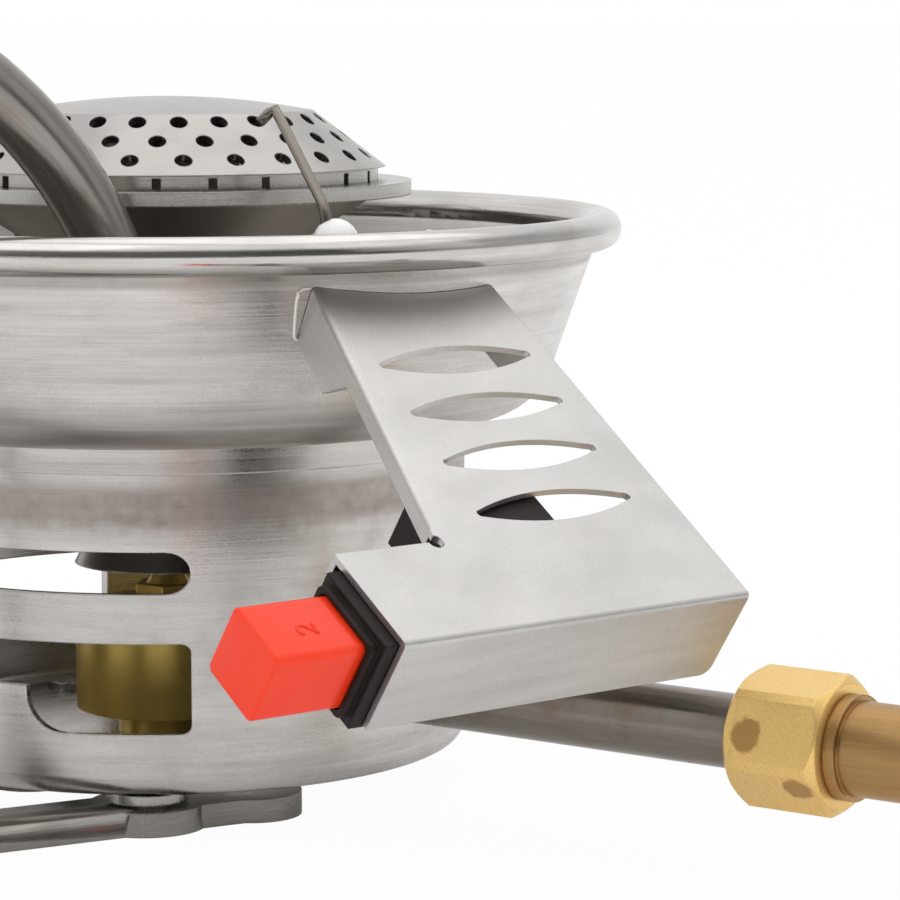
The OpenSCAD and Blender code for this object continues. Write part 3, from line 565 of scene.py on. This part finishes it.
def merged(node: str) -> bmesh.types.BMesh:
    """Copies a node's solid and merges its loose triangles.

    Args:
        node: the node's name.

    Returns:
        The copy, still open for edits.
    """
    work = bmesh.new()
    work.from_mesh(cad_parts[node].data)
    bmesh.ops.remove_doubles(work, verts=work.verts, dist=1e-6)
    return work


def closed(work: bmesh.types.BMesh, name: str) -> bpy.types.Mesh:
    """Turns an edited copy into a mesh.

    Args:
        work: the copy, freed here.
        name: the mesh's name.

    Returns:
        The mesh.
    """
    mesh = bpy.data.meshes.new(name)
    work.to_mesh(mesh)
    work.free()
    return mesh


def rounded(node: str, ease: float, wanted: Callable[[bmesh.types.BMEdge], bool],
            cut: tuple[np.ndarray, np.ndarray] | None = None) -> bpy.types.Mesh:
    """Copies a node's solid and rounds the outer edges that are wanted, each by an arc as wide as the ease.

    Args:
        node: the node's name.
        ease: the rounding's width, in millimetres.
        wanted: says whether a convex edge that turns by more than 60 degrees is rounded.
        cut: a plane's point and normal, where edges are parted first so that a rounding can stop there.

    Returns:
        The mesh.
    """
    work = merged(node)
    bmesh.ops.dissolve_limit(work, angle_limit=math.radians(0.6), verts=work.verts, edges=work.edges)
    if cut is not None:
        everything = [*work.verts, *work.edges, *work.faces]
        bmesh.ops.bisect_plane(work, geom=everything, dist=1e-7, plane_co=cut[0], plane_no=cut[1])
    chosen = [e for e in work.edges if e.is_manifold and e.is_convex
              and e.calc_face_angle(0.0) > math.radians(60) and wanted(e)]
    bmesh.ops.bevel(work, geom=chosen, offset=ease * MM, segments=4, profile=0.5, affect="EDGES",
                    clamp_overlap=False)
    log.info("%s: %d edges rounded", node, len(chosen))
    return closed(work, node + "_eased")


def tube_mesh(name: str, path: np.ndarray, radius: float, sides: int) -> bpy.types.Mesh:
    """A round tube along a path: each point plus the radius times a circle across the way, with closed ends.

    Args:
        name: the mesh's name.
        path: the points, in metres.
        radius: the tube's radius, in metres.
        sides: the points of each ring.

    Returns:
        The mesh.
    """
    way = np.gradient(path, axis=0)
    way /= np.linalg.norm(way, axis=1, keepdims=True)
    side = np.cross(way, np.array(OFF_AXIS))
    side /= np.linalg.norm(side, axis=1, keepdims=True)
    up = np.cross(side, way)
    a = np.linspace(0, 2 * np.pi, sides, endpoint=False)[None, :, None]
    rings = path[:, None] + radius * (np.cos(a) * side[:, None] + np.sin(a) * up[:, None])
    n = len(path)
    i, k = np.meshgrid(np.arange(n - 1), np.arange(sides), indexing="ij")
    j = (k + 1) % sides
    here, ahead = i * sides, (i + 1) * sides
    quads = np.stack([here + k, here + j, ahead + j, ahead + k], axis=-1).reshape(-1, 4)
    ends = [list(range(sides - 1, -1, -1)), list(range((n - 1) * sides, n * sides))]
    mesh = bpy.data.meshes.new(name)
    mesh.from_pydata(rings.reshape(-1, 3).tolist(), [], quads.tolist() + ends)
    work = bmesh.new()
    work.from_mesh(mesh)
    bmesh.ops.recalc_face_normals(work, faces=work.faces)
    work.to_mesh(mesh)
    work.free()
    return mesh


@dataclass
class Housing:
    """The spun bowl with its rolled rim, on the vented cup."""

    finishes: dict[str, Finish] = field(default_factory=lambda: {"bowl": SPUN_STEEL, "lower_cup": CUP_STEEL})

    def build(self, wardrobe: Wardrobe) -> None:
        """Dresses the bowl and the cup."""
        dress_nodes(wardrobe, self.finishes)


@dataclass
class Burner:
    """The perforated head on its pan, with the mixing tube below."""

    finishes: dict[str, Finish] = field(default_factory=lambda: {
        "burner_pan": PAN_STEEL, "burner_head": BURNER_STEEL, "mixing_tube": TUBE_STEEL,
        "tube_screws": FASTENER_STEEL})

    def build(self, wardrobe: Wardrobe) -> None:
        """Dresses the burner's pieces."""
        dress_nodes(wardrobe, self.finishes)


@dataclass
class GasLine:
    """The jet in its block, the pipe, and the union nut with the hose connector."""

    finishes: dict[str, Finish] = field(default_factory=lambda: {
        "jet_block": BLOCK_BRASS, "jet": BLOCK_BRASS, "gas_pipe": PIPE_STEEL, "pipe_ferrule": BLOCK_BRASS,
        "union_nut": NUT_BRASS, "hose_connector": STEM_BRASS})

    def build(self, wardrobe: Wardrobe) -> None:
        """Dresses the gas line's pieces."""
        dress_nodes(wardrobe, self.finishes)


@dataclass
class Igniter:
    """The folded sheet bracket, the push button in its black body, and the electrode."""

    fold_out: float = 90.9
    fold_up: float = 31.9
    bearing: float = -14.0
    slope: float = 34.0
    fold_ease: float = 0.58
    fold_least: float = 15.0
    fold_stop: float = 15.0
    fold_flat: float = 0.02
    fold_width: float = 1.5
    button_ease: float = 0.35
    button_out: float = 10.2
    digit_size: float = 2.0
    digit_stroke: float = 0.15
    digit_place: float = 0.46
    digit_down: float = 0.5
    lip_radius: float = 0.22
    lip_left: tuple[float, ...] = (15.2, 15.8, 16.15, 16.3, 16.3, 16.2, 16.05, 15.9, 15.78, 15.62, 15.3)
    lip_up: tuple[float, ...] = (61.0, 61.05, 60.9, 60.5, 59.8, 58.8, 57.8, 56.8, 56.0, 55.65, 55.5)
    finishes: dict[str, Finish] = field(default_factory=lambda: {
        "igniter_bracket": SHEET_STEEL, "piezo_body": BLACK_PLASTIC, "piezo_button": RED_PLASTIC,
        "electrode_ceramic": CERAMIC, "electrode_rod": WIRE_STEEL, "ignition_lead": RUBBER})

    def axes(self) -> np.ndarray:
        """The bracket's own axes.

        Returns:
            Unit rows: leftwards, down the slope, and up from the plate.
        """
        a, s = np.radians([self.bearing, self.slope])
        ahead = np.array([np.cos(a), np.sin(a), 0.0])
        rise = np.array([0.0, 0.0, 1.0])
        left = np.array([np.sin(a), -np.cos(a), 0.0])
        return np.stack([left, ahead * np.cos(s) - rise * np.sin(s), ahead * np.sin(s) + rise * np.cos(s)])

    def origin(self) -> np.ndarray:
        """The middle of the bracket's outer fold, in metres."""
        a = np.radians(self.bearing)
        return np.array([self.fold_out * np.cos(a), self.fold_out * np.sin(a), self.fold_up]) * MM

    def is_fold(self, edge: bmesh.types.BMEdge) -> bool:
        """Whether an edge is one of the bracket's long folds, which lie in the plate's upper face.

        Args:
            edge: an edge of the bracket.

        Returns:
            True for a fold: a long edge between two faces wider than the sheet's thickness.
        """
        ends = (np.array([v.co for v in edge.verts]) - self.origin()) @ self.axes()[2]
        length = edge.calc_length()
        width = min(face.calc_area() for face in edge.link_faces) / length
        level = np.abs(ends).max() < self.fold_flat * MM
        return bool(level and length > self.fold_least * MM and width > self.fold_width * MM)

    def stand_in(self, wardrobe: Wardrobe, node: str, mesh: bpy.types.Mesh, body: str,
                 sharp: float = SHEET_SHARP) -> None:
        """Replaces a node by a finer mesh of the same shape.

        Args:
            wardrobe: where the material comes from.
            node: the node's name.
            mesh: the mesh.
            body: the body that it rides on.
            sharp: the least angle of an edge that stays sharp, in degrees.
        """
        piece = linked(node + "_eased", mesh, body, sharp)
        wardrobe.dress(piece, self.finishes[node])
        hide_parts(node)

    def digit(self, wardrobe: Wardrobe) -> None:
        """Moulds a small plain figure two on the button's top: an arc, a slanted stroke and a foot.

        Args:
            wardrobe: where the material comes from.
        """
        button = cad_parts["piezo_button"].data
        corners = np.empty(len(button.vertices) * 3)
        button.vertices.foreach_get("co", corners)
        local = (corners.reshape(-1, 3) - self.origin()) @ self.axes().T
        low, high = local.min(axis=0), local.max(axis=0)
        bow, bow_up, heel, toe = 0.3, 0.2, (-0.3, -0.5), (0.33, -0.5)
        a = np.radians(np.linspace(165, -42, 24))
        arc = np.stack([bow * np.cos(a), bow_up + bow * np.sin(a)], axis=1)
        stroke, foot = np.linspace(arc[-1], heel, 8)[1:], np.linspace(heel, toe, 8)[1:]
        shape = np.concatenate([arc, stroke, foot]) * self.digit_size * MM
        middle_x = high[0] - self.button_out * MM * (1 - self.digit_place)
        middle_y = (low[1] + high[1]) / 2 + self.digit_down * MM
        top = np.full(len(shape), high[2])
        flat = np.stack([middle_x + shape[:, 1], middle_y - shape[:, 0], top], axis=1)
        path = flat @ self.axes() + self.origin()
        mesh = tube_mesh("button_digit", path, self.digit_stroke * MM, 10)
        wardrobe.dress(linked("button_digit", mesh, "button"), RED_PLASTIC)

    def slot_lip(self, wardrobe: Wardrobe) -> None:
        """Lays the punched lip of the bowl's slot: a bead on points cast inwards on the bowl's wall, in a
        pale steel whose brightness is a painted highlight.

        Args:
            wardrobe: where the material comes from.
        """
        left = self.axes()[0]
        ahead = np.array([-left[1], left[0], 0.0])
        work = merged("bowl")
        wall = BVHTree.FromBMesh(work)
        work.free()
        starts = np.outer(np.array(self.lip_left) * MM, left) + ahead * self.fold_out * MM
        starts[:, 2] = np.array(self.lip_up) * MM
        path = np.array([wall.ray_cast(start, -ahead)[0] for start in starts])
        mesh = tube_mesh("bowl_slot_lip", path, self.lip_radius * MM, 12)
        # The lip's pale steel paints its highlight.
        wardrobe.dress(linked("bowl_slot_lip", mesh, "stove", WIRE_SHARP), SLOT_LIP_HIGHLIGHT_STEEL)

    def build(self, wardrobe: Wardrobe) -> None:
        """Makes the eased pieces, the slot's lip and the moulded figure, and dresses the rest.

        Args:
            wardrobe: where the materials come from.
        """
        dress_nodes(wardrobe, self.finishes)
        down = self.axes()[1]
        stop = self.origin() - down * self.fold_stop * MM
        folded = rounded("igniter_bracket", self.fold_ease, self.is_fold, (stop, down))
        self.stand_in(wardrobe, "igniter_bracket", folded, "stove")
        button = rounded("piezo_button", self.button_ease, lambda edge: True)
        self.stand_in(wardrobe, "piezo_button", button, "button")
        for node, slot in (("electrode_rod", "electrode_steel"), ("ignition_lead", "lead_rubber")):
            self.stand_in(wardrobe, node, closed(merged(node), node + "_smooth"), "stove", WIRE_SHARP)
        self.slot_lip(wardrobe)
        self.digit(wardrobe)


@dataclass
class BarLeg:
    """A leg bent from bar, which carries the place along its bar for the drawn lines to follow."""

    node: str
    pivot_angle: float
    heading: float
    pivot_out: float = 29.4
    bar: float = 3.6
    reach: float = 82.0
    sweep: float = 47.0
    top_bend: float = 16.0
    foot_bend: float = 14.0
    stem_foot: float = 38.0
    stem_top: float = 45.2
    tail: float = 13.0
    bend_points: int = 60

    def centre_line(self) -> np.ndarray:
        """The bar's middle line in the leg's upright plane: straights joined by quarter circles.

        Returns:
            Points of reach and height, in millimetres.
        """
        def bend(out: float, up: float, radius: float, start: float, stop: float) -> np.ndarray:
            """Points of an arc: the centre plus the radius at evenly spaced angles."""
            a = np.radians(np.linspace(start, stop, self.bend_points))
            return np.stack([out + radius * np.cos(a), up + radius * np.sin(a)], axis=1)

        apex = self.stem_top + self.sweep
        corners = [
            np.array([[0.0, self.stem_foot]]),
            bend(self.sweep, self.stem_top, self.sweep, 180, 90),
            bend(self.reach - self.top_bend, apex - self.top_bend, self.top_bend, 90, 0),
            bend(self.reach - self.foot_bend, self.bar + self.foot_bend, self.foot_bend, 0, -90),
            np.array([[-self.tail, self.bar]]),
        ]
        return np.concatenate(corners)

    def build(self, wardrobe: Wardrobe) -> None:
        """Makes the leg, marks each point with its place along and across the bar, and dresses it.

        Args:
            wardrobe: where the material comes from.
        """
        dress_nodes(wardrobe, {self.node: BAR_STEEL})
        mesh = closed(merged(self.node), self.node + "_bar")
        places = np.empty(len(mesh.vertices) * 3)
        mesh.vertices.foreach_get("co", places)
        places = places.reshape(-1, 3) / MM
        a, h = np.radians([self.pivot_angle, self.heading])
        east = places[:, 0] - self.pivot_out * np.cos(a)
        north = places[:, 1] - self.pivot_out * np.sin(a)
        flat = np.stack([east * np.cos(h) + north * np.sin(h), places[:, 2]], axis=1)
        across = north * np.cos(h) - east * np.sin(h)
        line = self.centre_line()
        first, way = line[:-1], np.diff(line, axis=0)
        length = np.linalg.norm(way, axis=1)
        gap = flat[:, None, :] - first[None]
        share = np.clip((gap * way).sum(-1) / length ** 2, 0, 1)
        off = gap - share[..., None] * way
        nearest = np.linalg.norm(off, axis=-1).argmin(axis=1)
        rows = np.arange(len(flat))
        along = (np.concatenate([[0], np.cumsum(length)[:-1]]) + share * length)[rows, nearest]
        turn = way[nearest] / length[nearest, None]
        lift = off[rows, nearest, 1] * turn[:, 0] - off[rows, nearest, 0] * turn[:, 1]
        marks = np.stack([along, across, lift], axis=1) * MM
        mesh.attributes.new(BAR_PLACE, "FLOAT_VECTOR", "POINT").data.foreach_set("vector", marks.ravel())
        piece = linked(self.node + "_bar", mesh, self.node)
        wardrobe.dress(piece, BAR_STEEL)
        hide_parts(self.node)


@dataclass(frozen=True)
class Lamp:
    """A square soft lamp: its bearing from the camera's side to the right and its rise, in degrees."""

    name: str
    bearing: float
    rise: float
    distance: float
    size: float
    power: float


@dataclass
class Studio:
    """A pale floor, soft light and the camera at the photograph's place."""

    turn: float = 36.0
    aside: float = 0.0333
    away: float = 0.4208
    height: float = 0.0907
    pitch: float = 7.1
    lens: float = 144.0
    lamp_aim: float = 0.04
    lamps: tuple[Lamp, ...] = (Lamp("key", -40, 58, 1.1, 0.7, 0.6), Lamp("fill", 70, 30, 1.2, 0.8, 0.4),
                               Lamp("top", 150, 70, 1.0, 0.8, 0.85))
    floor_side: float = 30.0
    floor_paint: float = 0.9
    floor_seen: float = 0.96
    floor_mirrored: float = 0.12
    room_least: float = 0.12
    room_floor: float = 0.1
    room_level: float = 0.95

    def camera(self) -> None:
        """Sets the camera."""
        lens = bpy.data.cameras.new("camera")
        lens.lens = self.lens
        lens.sensor_width = 36.0
        lens.clip_start = 0.01
        lens.clip_end = 100.0
        holder = bpy.data.objects.new("camera", lens)
        bpy.context.scene.collection.objects.link(holder)
        a = math.radians(self.turn)
        holder.location = (self.aside * math.cos(a) + self.away * math.sin(a),
                           self.aside * math.sin(a) - self.away * math.cos(a), self.height)
        holder.rotation_euler = (math.radians(90 - self.pitch), 0.0, a)
        bpy.context.scene.camera = holder

    def hang(self, lamp: Lamp) -> None:
        """Hangs a lamp and aims it at the burner.

        Args:
            lamp: the lamp, its sizes in metres and its power in watts.
        """
        light = bpy.data.lights.new(lamp.name, "AREA")
        light.size = lamp.size
        light.energy = lamp.power
        holder = bpy.data.objects.new(lamp.name, light)
        bpy.context.scene.collection.objects.link(holder)
        a = math.radians(self.turn - 90 + lamp.bearing)
        b = math.radians(lamp.rise)
        level = lamp.distance * math.cos(b)
        height = lamp.distance * math.sin(b) + self.lamp_aim
        holder.location = (level * math.cos(a), level * math.sin(a), height)
        holder.rotation_euler = (math.pi / 2 - b, 0.0, a + math.pi / 2)

    def rays(self, graph: Graph) -> tuple[Value, Value]:
        """What a ray is: one for the camera's own, and one for a reflected or transmitted one.

        Args:
            graph: the graph that asks.

        Returns:
            The two values.
        """
        kinds = graph.node("ShaderNodeLightPath").socket.node.outputs
        wanted = ("Is Camera Ray", "Is Glossy Ray", "Is Transmission Ray")
        seen, glossy, through = (Value(graph, kinds[name]) for name in wanted)
        return seen, glossy + through

    def floor(self) -> None:
        """Lays the pale floor, which shows near white to the camera and keeps a soft shadow."""
        side = self.floor_side / 2
        mesh = bpy.data.meshes.new("floor")
        corners = [(-side, -side, 0), (side, -side, 0), (side, side, 0), (-side, side, 0)]
        mesh.from_pydata(corners, [], [(0, 1, 2, 3)])
        piece = bpy.data.objects.new("floor", mesh)
        bpy.context.scene.collection.objects.link(piece)
        made = bpy.data.materials.new("floor")
        made.use_nodes = True
        graph = Graph(made.node_tree)
        paint = graph.node("ShaderNodeBsdfDiffuse", None, {"Color": (*[self.floor_paint] * 3, 1.0)})
        glow = graph.node("ShaderNodeEmission", None, {"Color": (1.0, 1.0, 1.0, 1.0), "Strength": 1.0})
        seen, mirrored = self.rays(graph)
        share = seen * self.floor_seen + mirrored * (1 - seen) * self.floor_mirrored
        share = share.math("MINIMUM", 1.0)
        both = graph.node("ShaderNodeMixShader", None, {0: share, 1: paint, 2: glow})
        graph.node("ShaderNodeOutputMaterial", None, {"Surface": both})
        mesh.materials.append(made)

    def world(self) -> None:
        """Sets the surroundings: white behind the stove and overhead, darker towards the camera's side."""
        world = bpy.data.worlds.new("studio")
        bpy.context.scene.world = world
        world.use_nodes = True
        graph = Graph(world.node_tree)
        seen, mirrored = self.rays(graph)
        a = math.radians(self.turn)
        x, y, z = graph.parts(graph.node("ShaderNodeTexCoord", out="Generated"))
        behind = y * math.cos(a) - x * math.sin(a)
        right = x * math.cos(a) + y * math.sin(a)
        bright = behind.step(-0.9, -0.1) * 0.8 + z.step(0.5, 0.85) * 0.85 + self.room_least
        room = bright - right.step(0.3, 0.95) * 0.45
        held = room.math("MINIMUM", 1.0).math("MAXIMUM", self.room_floor)
        level = held * mirrored.math("MINIMUM", 1.0) * self.room_level + (1 - mirrored) * self.room_level
        strength = seen + (1 - seen) * level
        sky = graph.node("ShaderNodeBackground", None, {"Color": (1.0, 1.0, 1.0, 1.0), "Strength": strength})
        graph.node("ShaderNodeOutputWorld", None, {"Surface": sky})

    def build(self) -> None:
        """Sets up the floor, the light and the camera."""
        self.camera()
        self.floor()
        self.world()
        for lamp in self.lamps:
            self.hang(lamp)
        bpy.context.scene.view_settings.view_transform = "Standard"


def main() -> None:
    """Dresses the stove and sets up the studio."""
    logging.basicConfig(level=logging.INFO, format="%(name)s: %(message)s")
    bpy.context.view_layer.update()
    wardrobe = Wardrobe()
    legs = [BarLeg("front_leg", -54.5, -115.0), BarLeg("middle_leg", -130.0, -144.0),
            BarLeg("back_leg", -205.5, -159.0)]
    dress_nodes(wardrobe, {n: FASTENER_STEEL for n in ("leg_pins", "leg_washers", "leg_bushes")})
    for assembly in (Housing(), Burner(), GasLine(), Igniter(), *legs):
        assembly.build(wardrobe)
    Studio().build()


if __name__ == "__main__":
    main()
